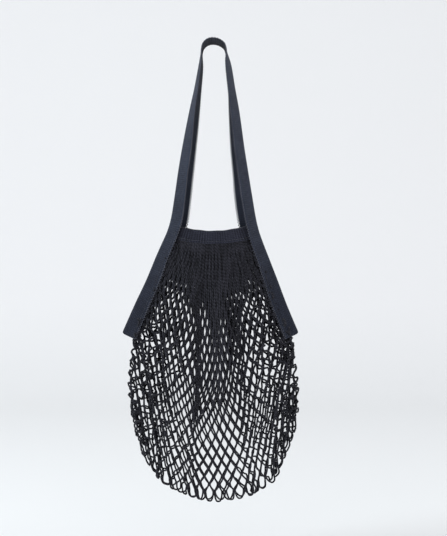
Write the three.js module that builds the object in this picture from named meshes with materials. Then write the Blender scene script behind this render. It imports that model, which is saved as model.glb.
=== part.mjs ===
// A string shopping bag, empty and hanging by its shoulder strap.
// Millimetres. Seen from the front, +X is to the right, +Y to the back and +Z up.
// The origin is the underside of the strap at the top of its arch, where the bag hangs.
import * as THREE from "three";

const SEWING_GAP = 0.8;

// The knitted tape of the shoulder strap: its lengthwise fold runs a little off its middle, so
// the front half is narrower than the rear one. The fold is rounded this far to each side.
const TAPE_FRONT = 22.5;
const TAPE_REAR = 27.5;
const TAPE_THICKNESS = 2;
const FOLD_HALF_WIDTH = 4;
const TAPE_SHARES = [-1, -0.6, -0.28, -0.12, 0, 0.12, 0.28, 0.6, 1];
const SECTION_STEPS = 12;

// The round arch at the strap's top: the radius inside it, and the degrees at its points.
const ARCH_RADIUS = 15;
const ARCH_TURNS = [150, 120, 90, 60, 30];

// The strap down each side of the bag. drop is the distance below the origin, and left and
// right are how far the fold line stands from the middle. The other columns are the degrees that the
// front and rear halves of the tape stand out of the bag's plane there: 90 is flat, 0 is folded
// shut.
const STRAP_SECTIONS = [
  { drop: 15, left: 16, leftFront: 90, leftRear: 90, right: 20.5, rightFront: 90, rightRear: 90 },
  { drop: 34, left: 19.5, leftFront: 82.5, leftRear: 80, right: 26.8, rightFront: 70, rightRear: 83 },
  { drop: 70, left: 26.3, leftFront: 75, leftRear: 71, right: 33, rightFront: 62, rightRear: 70 },
  { drop: 105, left: 34, leftFront: 67, leftRear: 59, right: 39.3, rightFront: 55, rightRear: 57 },
  { drop: 159, left: 44.5, leftFront: 50.5, leftRear: 44, right: 46.8, rightFront: 49.5, rightRear: 44 },
  { drop: 195, left: 50.5, leftFront: 47.5, leftRear: 37, right: 52.5, rightFront: 45.5, rightRear: 36 },
  { drop: 230, left: 55.5, leftFront: 43.5, leftRear: 32, right: 58.2, rightFront: 43, rightRear: 24 },
  { drop: 266, left: 61.5, leftFront: 40, leftRear: 27, right: 64.3, rightFront: 44, rightRear: 19 },
  { drop: 284, left: 67, leftFront: 41, leftRear: 27, right: 68.8, rightFront: 43.5, rightRear: 21 },
  { drop: 302, left: 75, leftFront: 39.5, leftRear: 25, right: 75.2, rightFront: 38.5, rightRear: 21 },
  { drop: 320, left: 83, leftFront: 37, leftRear: 22, right: 82.2, rightFront: 38, rightRear: 19.5 },
  { drop: 356, left: 98, leftFront: 28.5, leftRear: 18, right: 96.2, rightFront: 27, rightRear: 18 },
  { drop: 391, left: 114.5, leftFront: 22, leftRear: 16, right: 109.3, rightFront: 18, rightRear: 16 },
  { drop: 435, left: 134, leftFront: 16, leftRear: 15, right: 127.8, rightFront: 18, rightRear: 15 },
];

// The mouth bands: a tape folded over the net's top edge. middle and end are the band's
// places in depth at the centre and at its two ends. The fold along its top is round: it
// turns down into the legs at BAND_FOLD, past a shoulder, and the slot inside starts lower.
const BAND_HALF_LENGTH = 52;
const BAND_HEIGHT = 18.5;
const BAND_WALL = 1.3;
const BAND_SLOT = 3.3;
const BAND_FOLD = 1.6;
const BAND_SHOULDER = { inset: 0.9, below: 0.3 };
const BAND_SLOT_TOP = { middle: 1.6, side: 2.2 };
const BAND_STATIONS = 24;
const BAND_TOP_DROP = 283.5;
const BAND_SAG = 8.5;
const BAND_FAN = 0.008;
const BANDS = {
  front: { middle: -23, end: -5.8 },
  rear: { middle: 13, end: 1.5 },
};

// The net: wall, the depth that its top edge goes down inside the bands, and how far front
// and rear stand out of the sewn edges at the fullest place. The shares are of its height:
// the bands hold it flat down to the first, its sides and faces are free of them at the next
// two, and it is fullest at the last. Its swell is pointed above NET_ROUNDING and blunt below.
const NET_WALL = 2;
const NET_TOP_HALF = 48;
const NET_TOP_DEPTH = 10;
const NET_FULLNESS = { front: 22, rear: 20 };
const NET_HELD_SHARE = 0.02;
const NET_SIDES_FREE = 0.13;
const NET_FACES_FREE = 0.25;
const NET_FULL_SHARE = 0.62;
const NET_ROUNDING = { from: 0.5, to: 0.78, pointed: 1.6, blunt: 0.5 };
const NET_COLUMNS = 34;
const NET_ROWS = 22;
const SLIT_ROW = 9;
const ROW_CLOSING = 1.25;
const COLUMN_CLOSING = 1.2;

// Where the net is sewn inside the folded strap: front and rear are the distances of the
// two net edges from the fold line. The last row is the end of the slit.
const SEWN_EDGE = [
  { drop: 307, front: 19, rear: 16 },
  { drop: 340, front: 17, rear: 15 },
  { drop: 375, front: 16, rear: 15 },
  { drop: 407, front: 15, rear: 15 },
];

// The net's sides below the strap's ends, and the round bottom.
const NET_SIDES = [
  { drop: 447, left: 117, right: 118 },
  { drop: 475, left: 121, right: 121 },
  { drop: 515, left: 124.5, right: 126 },
  { drop: 543, left: 121, right: 125 },
  { drop: 570, left: 114, right: 120 },
];
const NET_BOTTOM_DROP = 685;

// The hanging folds. top and low are the fold's places across the net at the mouth and at
// the bottom, from -1 at the left side to 1 at the right; width is in the same measure.
// depth is how far the fold stands out, and from and to are shares of the net's height,
// with a fold coming in over FOLD_RISE and going out over FOLD_FALL.
const FOLD_RISE = 0.3;
const FOLD_FALL = 0.25;
const NET_FOLDS = {
  front: [
    { top: -0.48, low: -0.26, width: 0.17, depth: 8, from: 0.07, to: 0.92 },
    { top: -0.14, low: -0.02, width: 0.13, depth: -6, from: 0.07, to: 0.8 },
    { top: 0.14, low: 0.12, width: 0.15, depth: 6, from: 0.07, to: 0.75 },
    { top: 0.4, low: 0.3, width: 0.12, depth: -6, from: 0.1, to: 0.85 },
    { top: 0.66, low: 0.5, width: 0.16, depth: 8, from: 0.1, to: 0.95 },
    { top: -0.76, low: -0.62, width: 0.14, depth: -5, from: 0.3, to: 0.95 },
  ],
  rear: [
    { top: -0.55, low: -0.45, width: 0.17, depth: 7, from: 0.07, to: 0.9 },
    { top: -0.24, low: -0.16, width: 0.13, depth: -5, from: 0.1, to: 0.8 },
    { top: 0.06, low: 0.04, width: 0.16, depth: 7, from: 0.07, to: 0.85 },
    { top: 0.36, low: 0.3, width: 0.13, depth: -5, from: 0.1, to: 0.85 },
    { top: 0.62, low: 0.56, width: 0.16, depth: 7, from: 0.1, to: 0.92 },
  ],
};

const TAPE_CLOTH = new THREE.MeshStandardMaterial({ color: 0x36373f, roughness: 0.95, metalness: 0 });
const BAND_CLOTH = new THREE.MeshStandardMaterial({ color: 0x2f303b, roughness: 0.95, metalness: 0 });
const NET_CORD = new THREE.MeshStandardMaterial({ color: 0x26252b, roughness: 0.92, metalness: 0 });

const mix = THREE.MathUtils.lerp;
const ramp = THREE.MathUtils.smoothstep;
const clamp = THREE.MathUtils.clamp;
const radians = THREE.MathUtils.degToRad;

// One column of a table, read smoothly at a given drop.
function readColumn(table, column, drop) {
  const last = table.length - 1;
  let row = 0;
  while (row < last - 1 && drop > table[row + 1].drop) {
    row += 1;
  }
  const slope = (k) => {
    const before = table[Math.max(0, k - 1)];
    const after = table[Math.min(last, k + 1)];
    return (after[column] - before[column]) / (after.drop - before.drop);
  };
  const span = table[row + 1].drop - table[row].drop;
  const f = clamp((drop - table[row].drop) / span, 0, 1);
  const rise = f * f * (3 - 2 * f);
  const value = mix(table[row][column], table[row + 1][column], rise);
  const bend = slope(row) * f * (1 - f) * (1 - f) - slope(row + 1) * f * f * (1 - f);
  return value + span * bend;
}

// A closed body from rings of points that follow one flat outline.
function loftRings(rings, outline) {
  const count = outline.length;
  const corners = [];
  const faces = [];
  for (const ring of rings) {
    for (const p of ring) {
      corners.push(p.x, p.y, p.z);
    }
  }
  for (let r = 0; r < rings.length - 1; r += 1) {
    for (let k = 0; k < count; k += 1) {
      const a = r * count + k;
      const b = r * count + ((k + 1) % count);
      faces.push(a, a + count, b, b, a + count, b + count);
    }
  }
  const last = (rings.length - 1) * count;
  const turned = THREE.ShapeUtils.isClockWise(outline);
  for (const cap of THREE.ShapeUtils.triangulateShape(outline, [])) {
    const [a, b, c] = turned ? cap.reverse() : cap;
    faces.push(a, b, c);
    faces.push(last + a, last + c, last + b);
  }
  return [corners, faces];
}

function bodyOf(name, corners, faces, cloth) {
  const geometry = new THREE.BufferGeometry();
  geometry.setAttribute("position", new THREE.Float32BufferAttribute(corners, 3));
  geometry.setIndex(faces);
  geometry.computeVertexNormals();
  const mesh = new THREE.Mesh(geometry, cloth);
  mesh.name = name;
  return mesh;
}

// The tape's own section: the direction it runs in at w, measured across the tape from the
// fold line, front half negative, and the place there, n inward and y to the back.
function tapeHeading(front, rear, w) {
  const turned = clamp((w + FOLD_HALF_WIDTH) / (2 * FOLD_HALF_WIDTH), 0, 1);
  return radians(mix(180 - front, rear, turned));
}

function tapePlace(front, rear, w, lift) {
  const step = w / SECTION_STEPS;
  let n = 0;
  let y = 0;
  for (let k = 0; k < SECTION_STEPS; k += 1) {
    const heading = tapeHeading(front, rear, (k + 0.5) * step);
    n += Math.cos(heading) * step;
    y += Math.sin(heading) * step;
  }
  const end = tapeHeading(front, rear, w);
  return { n: n - lift * Math.sin(end), y: y + lift * Math.cos(end) };
}

// A point inside the folded strap, clear of the tape by half the net's wall and a gap.
function insideStrap(side, face, drop, reach) {
  const sign = side === "left" ? -1 : 1;
  const x = readColumn(STRAP_SECTIONS, side, drop);
  const spread = readColumn(STRAP_SECTIONS, side, drop + 1) - readColumn(STRAP_SECTIONS, side, drop - 1);
  const inward = new THREE.Vector3(-sign, 0, -spread / 2).normalize();
  const front = readColumn(STRAP_SECTIONS, `${side}Front`, drop);
  const rear = readColumn(STRAP_SECTIONS, `${side}Rear`, drop);
  const w = face === "front" ? -reach : reach;
  const clear = (TAPE_THICKNESS + NET_WALL) / 2 + SEWING_GAP;
  const place = tapePlace(front, rear, w, -clear);
  return new THREE.Vector3(sign * x, place.y, -drop).addScaledVector(inward, place.n);
}

function strapBody() {
  const down = STRAP_SECTIONS.map((row) => new THREE.Vector3(row.right, 0, -row.drop));
  const up = STRAP_SECTIONS.map((row) => new THREE.Vector3(-row.left, 0, -row.drop)).reverse();
  const archHeight = ARCH_RADIUS + TAPE_THICKNESS / 2;
  const { left, right } = STRAP_SECTIONS[0];
  const arch = ARCH_TURNS.map((degrees) => {
    const turn = radians(degrees);
    const reach = (degrees > 90 ? left : right) * Math.cos(turn);
    return new THREE.Vector3(reach, 0, archHeight * Math.sin(turn) - ARCH_RADIUS);
  });
  const line = new THREE.CatmullRomCurve3([...up, ...arch, ...down]);
  const stations = (line.points.length - 1) * 2;
  const across = TAPE_SHARES.map((f) => f * (f < 0 ? TAPE_FRONT : TAPE_REAR));
  const rings = [];
  let outline = [];
  for (let k = 0; k <= stations; k += 1) {
    const p = line.getPoint(k / stations);
    const along = line.getTangent(k / stations);
    const inward = new THREE.Vector3(along.z, 0, -along.x);
    const drop = Math.max(STRAP_SECTIONS[0].drop, -p.z);
    const side = p.x < 0 ? "left" : "right";
    const front = readColumn(STRAP_SECTIONS, `${side}Front`, drop);
    const rear = readColumn(STRAP_SECTIONS, `${side}Rear`, drop);
    const outside = across.map((w) => tapePlace(front, rear, w, TAPE_THICKNESS / 2));
    const inside = across.map((w) => tapePlace(front, rear, w, -TAPE_THICKNESS / 2)).reverse();
    const section = [...outside, ...inside];
    rings.push(section.map(({ n, y }) => new THREE.Vector3(p.x, y, p.z).addScaledVector(inward, n)));
    outline = section.map(({ n, y }) => new THREE.Vector2(n, y));
  }
  return bodyOf("shoulder_strap", ...loftRings(rings, outline), TAPE_CLOTH);
}

// The middle line of a band at a place x along it: its depth and the height of its top.
function bandDepth(face, x) {
  const { middle, end } = BANDS[face];
  return mix(middle, end, (x / BAND_HALF_LENGTH) ** 2);
}

function bandTop(x) {
  return -BAND_TOP_DROP + BAND_SAG * (x / BAND_HALF_LENGTH) ** 2;
}

function bandBody(face) {
  const slot = BAND_SLOT / 2;
  const half = slot + BAND_WALL;
  const section = [
    [-half, BAND_HEIGHT],
    [-half, BAND_FOLD],
    [-half + BAND_SHOULDER.inset, BAND_SHOULDER.below],
    [0, 0],
    [half - BAND_SHOULDER.inset, BAND_SHOULDER.below],
    [half, BAND_FOLD],
    [half, BAND_HEIGHT],
    [slot, BAND_HEIGHT],
    [slot, BAND_SLOT_TOP.side],
    [0, BAND_SLOT_TOP.middle],
    [-slot, BAND_SLOT_TOP.side],
    [-slot, BAND_HEIGHT],
  ];
  const rings = [];
  for (let k = 0; k <= BAND_STATIONS; k += 1) {
    const x = mix(-BAND_HALF_LENGTH, BAND_HALF_LENGTH, k / BAND_STATIONS);
    const lean = bandDepth(face, x + 0.5) - bandDepth(face, x - 0.5);
    const across = new THREE.Vector3(-lean, 1, 0).normalize();
    rings.push(section.map(([out, below]) => {
      const p = new THREE.Vector3(x * (1 + BAND_FAN * below), bandDepth(face, x), bandTop(x) - below);
      return p.addScaledVector(across, out);
    }));
  }
  const outline = section.map(([out, below]) => new THREE.Vector2(out, below));
  return bodyOf(`mouth_band_${face}`, ...loftRings(rings, outline), BAND_CLOTH);
}

// The share of the net's height at a row; rows close up towards the round bottom.
function rowShare(row) {
  return 1 - (1 - row / NET_ROWS) ** ROW_CLOSING;
}

function netTop(face, s) {
  const x = s * NET_TOP_HALF;
  const fanned = x * (1 + BAND_FAN * NET_TOP_DEPTH);
  return new THREE.Vector3(fanned, bandDepth(face, x), bandTop(x) - NET_TOP_DEPTH);
}

function netBottom(s) {
  const lowest = NET_SIDES[NET_SIDES.length - 1];
  const middle = (lowest.right - lowest.left) / 2;
  const half = (lowest.right + lowest.left) / 2;
  const turn = (s * Math.PI) / 2;
  const fall = (NET_BOTTOM_DROP - lowest.drop) * Math.cos(turn);
  return new THREE.Vector3(middle + half * Math.sin(turn), 0, -lowest.drop - fall);
}

// One side edge of a net face: down inside the strap to the slit's end, then the bag's side.
function netEdge(side, face) {
  const sign = side === "left" ? -1 : 1;
  const sewn = SEWN_EDGE.map((row) => insideStrap(side, face, row.drop, row[face]));
  const other = face === "front" ? "rear" : "front";
  const end = SEWN_EDGE[SEWN_EDGE.length - 1];
  const slitEnd = sewn.pop().lerp(insideStrap(side, other, end.drop, end[other]), 0.5);
  const upper = new THREE.CatmullRomCurve3([netTop(face, sign), ...sewn, slitEnd]);
  const below = NET_SIDES.map((row) => new THREE.Vector3(sign * row[side], 0, -row.drop));
  const lower = new THREE.CatmullRomCurve3([slitEnd, ...below]);
  const slit = rowShare(SLIT_ROW);
  return (t) => (t <= slit ? upper.getPointAt(t / slit) : lower.getPointAt((t - slit) / (1 - slit)));
}

// A patch between the top, the bottom and the two side edges.
function spanEdges(u, t, top, bottom, left, right, ends) {
  const across = mix(top, bottom, t) + mix(left, right, u);
  return across - mix(mix(ends[0], ends[1], u), mix(ends[2], ends[3], u), t);
}

function foldDepth(face, s, t) {
  let sum = 0;
  for (const fold of NET_FOLDS[face]) {
    const off = (s - mix(fold.top, fold.low, t)) / fold.width;
    const coming = ramp(t, fold.from, fold.from + FOLD_RISE);
    const going = ramp(t, fold.to - FOLD_FALL, fold.to);
    sum += fold.depth * coming * (1 - going) * Math.exp(-off * off);
  }
  return sum * (1 - s ** 4);
}

function netFace(face) {
  const leftEdge = netEdge("left", face);
  const rightEdge = netEdge("right", face);
  const out = face === "front" ? -1 : 1;
  const ends = [netTop(face, -1), netTop(face, 1), netBottom(-1), netBottom(1)];
  return (s, t) => {
    const u = (s + 1) / 2;
    const top = netTop(face, s);
    const bottom = netBottom(s);
    const held = t * ramp(t, NET_HELD_SHARE, NET_FACES_FREE);
    const read = (axis, share, edgeShare) => {
      const left = leftEdge(edgeShare)[axis];
      const right = rightEdge(edgeShare)[axis];
      return spanEdges(u, share, top[axis], bottom[axis], left, right, ends.map((p) => p[axis]));
    };
    const { from, to, pointed, blunt } = NET_ROUNDING;
    const rounding = mix(pointed, blunt, ramp(t, from, to));
    const filling = ramp(t, 2 * NET_HELD_SHARE, NET_FULL_SHARE) * Math.sqrt(1 - t ** 4);
    const full = NET_FULLNESS[face] * filling;
    const swell = full * Math.max(0, 1 - s * s) ** rounding + foldDepth(face, s, t);
    const heldEdge = t * ramp(t, NET_HELD_SHARE, NET_SIDES_FREE);
    const y = read("y", held, heldEdge) + out * swell;
    return new THREE.Vector3(read("x", t, t), y, read("z", t, t));
  };
}

// The net's wall: front and rear faces share their corners below the slits and along the bottom.
function netBody() {
  const places = [];
  const quads = [];
  const grids = {};
  for (const face of ["front", "rear"]) {
    const at = netFace(face);
    grids[face] = [];
    for (let j = 0; j <= NET_ROWS; j += 1) {
      grids[face].push([]);
      for (let i = 0; i <= NET_COLUMNS; i += 1) {
        const shared = j === NET_ROWS || (j >= SLIT_ROW && (i === 0 || i === NET_COLUMNS));
        if (face === "rear" && shared) {
          grids.rear[j].push(grids.front[j][i]);
          continue;
        }
        const turn = mix(-COLUMN_CLOSING, COLUMN_CLOSING, i / NET_COLUMNS);
        const s = Math.sin(turn) / Math.sin(COLUMN_CLOSING);
        grids[face][j].push(places.length);
        places.push(at(s, rowShare(j)));
      }
    }
    const g = grids[face];
    for (let j = 0; j < NET_ROWS; j += 1) {
      for (let i = 0; i < NET_COLUMNS; i += 1) {
        const quad = [g[j][i], g[j + 1][i], g[j + 1][i + 1], g[j][i + 1]];
        quads.push(face === "front" ? quad : quad.reverse());
      }
    }
  }
  return bodyOf("net_body", ...thicken(places, quads, NET_WALL), NET_CORD);
}

// A wall of even thickness on both sides of a sheet of four-cornered faces.
function thicken(places, quads, wall) {
  const normals = places.map(() => new THREE.Vector3());
  const edges = new Map();
  for (const quad of quads) {
    const [a, b, c, d] = quad.map((k) => places[k]);
    const facing = c.clone().sub(a).cross(d.clone().sub(b)).normalize();
    quad.forEach((k, n) => {
      normals[k].add(facing);
      const next = quad[(n + 1) % 4];
      if (!edges.delete(`${next},${k}`)) {
        edges.set(`${k},${next}`, [k, next]);
      }
    });
  }
  const corners = [];
  for (const share of [0.5, -0.5]) {
    places.forEach((p, k) => {
      const moved = p.clone().addScaledVector(normals[k].clone().normalize(), share * wall);
      corners.push(moved.x, moved.y, moved.z);
    });
  }
  const inner = places.length;
  const faces = [];
  for (const [a, b, c, d] of quads) {
    faces.push(a, b, c, a, c, d);
    faces.push(a + inner, c + inner, b + inner, a + inner, d + inner, c + inner);
  }
  for (const [a, b] of edges.values()) {
    faces.push(a, a + inner, b, b, a + inner, b + inner);
  }
  return [corners, faces];
}

const bag = new THREE.Group();
bag.name = "mesh_bag";
bag.add(strapBody(), bandBody("front"), bandBody("rear"), netBody());

export default bag;
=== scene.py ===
import math

import bpy
import numpy as np
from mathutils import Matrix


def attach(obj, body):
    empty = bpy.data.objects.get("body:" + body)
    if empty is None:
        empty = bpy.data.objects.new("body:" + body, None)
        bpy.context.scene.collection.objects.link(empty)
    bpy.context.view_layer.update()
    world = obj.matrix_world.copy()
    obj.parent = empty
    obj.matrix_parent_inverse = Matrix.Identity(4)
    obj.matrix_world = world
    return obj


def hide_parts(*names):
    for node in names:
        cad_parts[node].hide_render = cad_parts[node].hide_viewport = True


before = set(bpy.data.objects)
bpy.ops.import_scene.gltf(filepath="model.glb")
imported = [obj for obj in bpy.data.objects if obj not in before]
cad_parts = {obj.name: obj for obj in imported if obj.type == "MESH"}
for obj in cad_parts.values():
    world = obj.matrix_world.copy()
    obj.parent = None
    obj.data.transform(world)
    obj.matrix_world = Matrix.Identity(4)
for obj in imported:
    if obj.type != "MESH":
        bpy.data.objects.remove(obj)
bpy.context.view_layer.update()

# A cotton string bag, empty and hanging by its shoulder strap.
# Sizes are in millimetres until a mesh is made. Seen from the front, +X is to the right,
# +Y to the back and +Z up; the origin is under the top of the strap's arch, where it hangs.
# TINY keeps a division from failing, and LINE_STEPS is the steps in a span of a smooth line.
MM = 0.001
TINY = 1e-9
LINE_STEPS = 40
ARCH_RADIUS = 15.0
ARCH_TURNS = (150, 120, 90, 60, 30)
SEWING_GAP = 0.8


def table(columns, rows):
    """A short table as one array per named column."""
    return dict(zip(columns.split(), np.array(rows, float).T))


# The strap: its tape from the fold line to each edge, and its line down each side of the bag,
# with the degrees that its front and rear halves stand out of the bag's plane there.
TAPE_FRONT = 22.5
TAPE_REAR = 27.5
TAPE_WIDTH = TAPE_FRONT + TAPE_REAR
TAPE_THICKNESS = 2.0
FOLD_HALF_WIDTH = 4.0
STRAP_SECTIONS = table("drop left left_front left_rear right right_front right_rear", [
    (15, 16, 90, 90, 20.5, 90, 90),
    (34, 19.5, 82.5, 80, 26.8, 70, 83),
    (70, 26.3, 75, 71, 33, 62, 70),
    (105, 34, 67, 59, 39.3, 55, 57),
    (159, 44.5, 50.5, 44, 46.8, 49.5, 44),
    (195, 50.5, 47.5, 37, 52.5, 45.5, 36),
    (230, 55.5, 43.5, 32, 58.2, 43, 24),
    (266, 61.5, 40, 27, 64.3, 44, 19),
    (284, 67, 41, 27, 68.8, 43.5, 21),
    (302, 75, 39.5, 25, 75.2, 38.5, 21),
    (320, 83, 37, 22, 82.2, 38, 19.5),
    (356, 98, 28.5, 18, 96.2, 27, 18),
    (391, 114.5, 22, 16, 109.3, 18, 16),
    (435, 134, 16, 15, 127.8, 18, 15),
])

# The tape is worked out at places across it and in even steps along it, and its flat map lies in
# strips. Its ends are rounded at the fold, over a reach along the tape, and painted shade darkens its
# inside.
TAPE_PLACES = 201
TAPE_GRID = np.linspace(-TAPE_FRONT, TAPE_REAR, TAPE_PLACES)
TAPE_STEP = 1.5
STRAP_STRIPS = 3
END_ROUND = 6.0
END_REACH = 24.0
INSIDE_PAINTED_SHADE = 0.6

# The tapes' knit: the pitch of its columns, courses and puckers, half a tape's thickness at its
# edge, between two columns and on top of one, the width of its thin edge and of its edge of painted
# highlight, how far each second course stands out, and the mesh points to a column.
WALE_PITCH = 2.5
COURSE_PITCH = 3.0
RIB_PITCH = 3.4
COLUMN_ROUND = 0.7
EDGE_HALF = 0.3
EDGE_INSET = 0.4
STRAP_KNIT = {"between": 0.66, "rise": 0.28, "thin": 1.6, "painted_light": 2.5, "course": 0.05, "points": 3}
BAND_KNIT = {"between": 0.42, "rise": 0.22, "thin": 1.4, "painted_light": 2.0, "course": 0.04, "points": 4}

# The thread: its loops along the strap's edges, and one stitch, from its start as a share of the
# pitch, with its rise out of the cloth. A seam runs a little inside the tape's edge. Short steps
# aside and out of the cloth give the ways that the thread takes.
THREAD_SIDES = 6
LOOP_STEPS = 6
LOOP = {"pitch": 4.2, "reach": 2.5, "rise": 0.3, "radius": 0.65, "inset": 0.35}
LOOP_STRIPS = 16
STITCH_PITCH = 3.4
STITCH_RADIUS = 0.28
STITCH = table("share rise", [
    (0.06, -0.35),
    (0.2, 0.12),
    (0.5, 0.22),
    (0.72, 0.12),
    (0.86, -0.35),
])
STRAP_SEAM = {"inset": 3.75, "lift": 0.9, "above_band": 4.0}
BAND_SEAM = {"inset": 3.2, "lift": 0.6, "from_end": 1.0, "points": 90}
STEP_ASIDE = 2.0
STEP_OUT = 0.5

# The mouth bands, folded over the net's top edge: how deep their middles and ends lie, their flat
# size, how far along its finish's length a band's middle lies, the puckers, which wander along the
# band, and the slight wave of its top.
BAND_HALF_LENGTH = 52.0
BAND_STEPS = 160
BAND_HEIGHT = 18.5
BAND_WALL = 1.3
BAND_SLOT = 3.3
BAND_TOP_DROP = 283.5
BAND_SAG = 8.5
BAND_FAN = 0.008
BANDS = {"front": (-23.0, -5.8), "rear": (13.0, 1.5)}
BAND_MIDDLE_ALONG = 60.0
PUCKER = {"depth": 0.42, "even": 0.7, "uneven": 0.3, "length": 7.3, "start": 1.0}
PUCKER_WANDER = table("amount length start", [
    (0.9, 5.3, 0),
    (0.6, 2.9, 2),
])
TOP_WAVE = {"height": 0.25, "length": 3.7}

# The net's form. Its wall has rows that close up toward the bottom, and the slits end at one of
# them. The powers say how late a change dies out toward a face's edges.
NET_WALL = 2.0
NET_TOP_HALF = 48.0
NET_TOP_DEPTH = 10.0
NET_FULLNESS = {"front": 22.0, "rear": 20.0}
NET_HELD_SHARE = 0.02
NET_SIDES_FREE = 0.13
NET_FACES_FREE = 0.25
NET_FULL_SHARE = 0.62
NET_ROUNDING = {"from": 0.5, "to": 0.78, "pointed": 1.6, "blunt": 0.5}
WALL_ROWS = 22
WALL_SLIT_ROW = 9
ROW_CLOSING = 1.25
SLIT_SHARE = 1 - ((WALL_ROWS - WALL_SLIT_ROW) / WALL_ROWS) ** ROW_CLOSING
EARLY, LATE, LATEST = 4, 8, 20
SEWN_EDGE = table("drop front rear", [
    (307, 19, 16),
    (340, 17, 15),
    (375, 16, 15),
    (407, 15, 15),
])
NET_SIDES = table("drop left right", [
    (447, 117, 118),
    (475, 121, 121),
    (515, 124.5, 126),
    (543, 121, 125),
    (570, 114, 120),
])
NET_BOTTOM_DROP = 685.0
FOLD_RISE = 0.3
FOLD_FALL = 0.25
FOLD_COLUMNS = "top low width depth start end"
NET_FOLDS = {
    "front": table(FOLD_COLUMNS, [
        (-0.48, -0.26, 0.17, 8, 0.07, 0.92),
        (-0.14, -0.02, 0.13, -6, 0.07, 0.8),
        (0.14, 0.12, 0.15, 6, 0.07, 0.75),
        (0.4, 0.3, 0.12, -6, 0.1, 0.85),
        (0.66, 0.5, 0.16, 8, 0.1, 0.95),
        (-0.76, -0.62, 0.14, -5, 0.3, 0.95),
    ]),
    "rear": table(FOLD_COLUMNS, [
        (-0.55, -0.45, 0.17, 7, 0.07, 0.9),
        (-0.24, -0.16, 0.13, -5, 0.1, 0.8),
        (0.06, 0.04, 0.16, 7, 0.07, 0.85),
        (0.36, 0.3, 0.13, -5, 0.1, 0.85),
        (0.62, 0.56, 0.16, 7, 0.1, 0.92),
    ]),
}

# The net's cords: meshes across each face, half rows of meshes, those beside the slit, the cord
# between two joints, its thickness, a joint's length and the sides of a cord's tube.
MESHES_ACROSS = 28
HALF_COLUMNS = 2 * MESHES_ACROSS
HALF_ROWS = 30
SLIT_ROWS = 12
BAR = 13.7
CORD = 2.7
JOINT = 4.0
CORD_SIDES = 8

# The net's rim as it hangs: pushed out from the bag's heart, full at the right lower corner and
# slack at both sides. A face's rows end at two corners, where its sides meet the round bottom.
CORNER_DROP = {"left": 555.0, "right": 548.0}
HEART_DROP = 200.0
RIM_SIDE_POINTS = 200
RIM_BOTTOM_POINTS = 300
RIM_OUT = 0.5
FULL_CORNER = {"out": 9.0, "x": 77.0, "width": 18.0, "from": 590.0, "to": 630.0}
SLACK_SIDES = table("side in drop width", [
    (-1, 8.5, 588, 45),
    (1, 3.5, 598, 22),
])
SPREADING_STEPS = 80

# The search for the form's depth at a place seen from the front.
SEARCH_HALF_WIDTH = 125.0
SEARCH_HEIGHT = 392.0
SEARCH_INSET = 0.01
SEARCH_STEP = 1e-3
SEARCH_ROUNDS = 10
LEAST_AREA = 100.0

# How the joints drift from an even spread. s runs from -1 to 1 across a face and t from 0 to 1
# down it; a pair says where a change starts and where it ends. The middle opens low down, rows
# lag and heap up toward the sides, columns lean, and the rear face hangs beside the front one.
# Under the strap's ends the net crumples, and both faces meet along the bottom.
AT_SIDE = 0.999
OPEN_WAVE = {"height": 0.06, "turn": 7.0}
OPEN_FROM, OPEN_TO, OPEN_ASIDE = (0.52, 0.7), (0.8, 0.92), (0.2, 0.5)
REAR_TURN = 2.6
REAR_ASIDE = 0.45
REAR_LOWER = 0.45
REAR_FROM, REAR_TO = (0.0, 0.2), (0.75, 0.95)
WAVE_COLUMNS = "across down start"
LAG_ROWS = 0.5
LAG_WAVES = table(WAVE_COLUMNS, [
    (2.3, 3.1, 0.4),
    (-4.1, 5.3, 1.9),
    (6.7, -4.0, 3.3),
])
LEAN_COLUMNS = 0.7
LEAN_WAVES = table(WAVE_COLUMNS, [
    (1.7, 4.7, 2.2),
    (3.9, -6.1, 0.7),
    (-7.3, 3.7, 4.1),
])
HITCH_ROWS = 0.3
HITCH_FROM, HITCH_TO = (0.0, 0.15), (0.2, 0.7)
HEAPED_ROWS = 0.8
HEAP_START, HEAP_RUN, HEAP_ASIDE = 0.34, 0.42, (0.45, 0.85)
CRUMPLE = 14.0
CRUMPLE_FROM, CRUMPLE_TO = (0.34, 0.48), (0.93, 1.0)
CRUMPLE_ASIDE, CRUMPLE_CLEAR = (0.25, 0.7), (0.8, 0.98)
CRUMPLE_WAVES = table(WAVE_COLUMNS, [
    (0.17, 0.05, 0.3),
    (-0.08, 0.16, 2.1),
    (0.12, -0.13, 4.4),
])
MEET_FROM = (0.88, 1.0)

# How the net settles: uneven joints and rim, rounded sides, the sinking of a step, the pull
# toward a joint's place at the rim, beside a side and elsewhere, and the least gap of two joints.
# Past SIDE_REACH a bar stays within the reach of its joints. Pairs here are half rows, or s.
NET_SEED = 7
LOOSE_FROM, LOOSE_TO = (9, 16), (27, 30)
LOOSE_ASIDE, LOOSE_CLEAR = (0.3, 0.85), (0.84, 0.98)
JOINT_UNEVEN = 4.5
BAR_UNEVEN = 0.5
BAR_BOW = 2.0
RIM_FROM = (26, HALF_ROWS)
RIM_UNEVEN = 3.0
RIM_TUG = (1.0, 0.3, 0.7)
SIDE_MESHES = 1.5
SIDE_ROUND = 8.0
SIDE_ROUND_TO = (17, 22)
SIDE_WIDER = 3.0
SIDE_LEAST = 2.0
SIDE_REACH = 85.0
SIDE_BAR_OUT = 0.5
ANYWHERE = 1e3
SETTLING_STEPS = 260
SINK = 0.04
PULL = {"rim": 0.15, "side": 0.08, "inside": 0.012}
PULL_WAYS = (1.0, 3.0, 1.0)
BAR_PULL = 0.03
JOINT_GAP = {"shortest": 9.5, "longest": 99.0, "give": 0.25}

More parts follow.
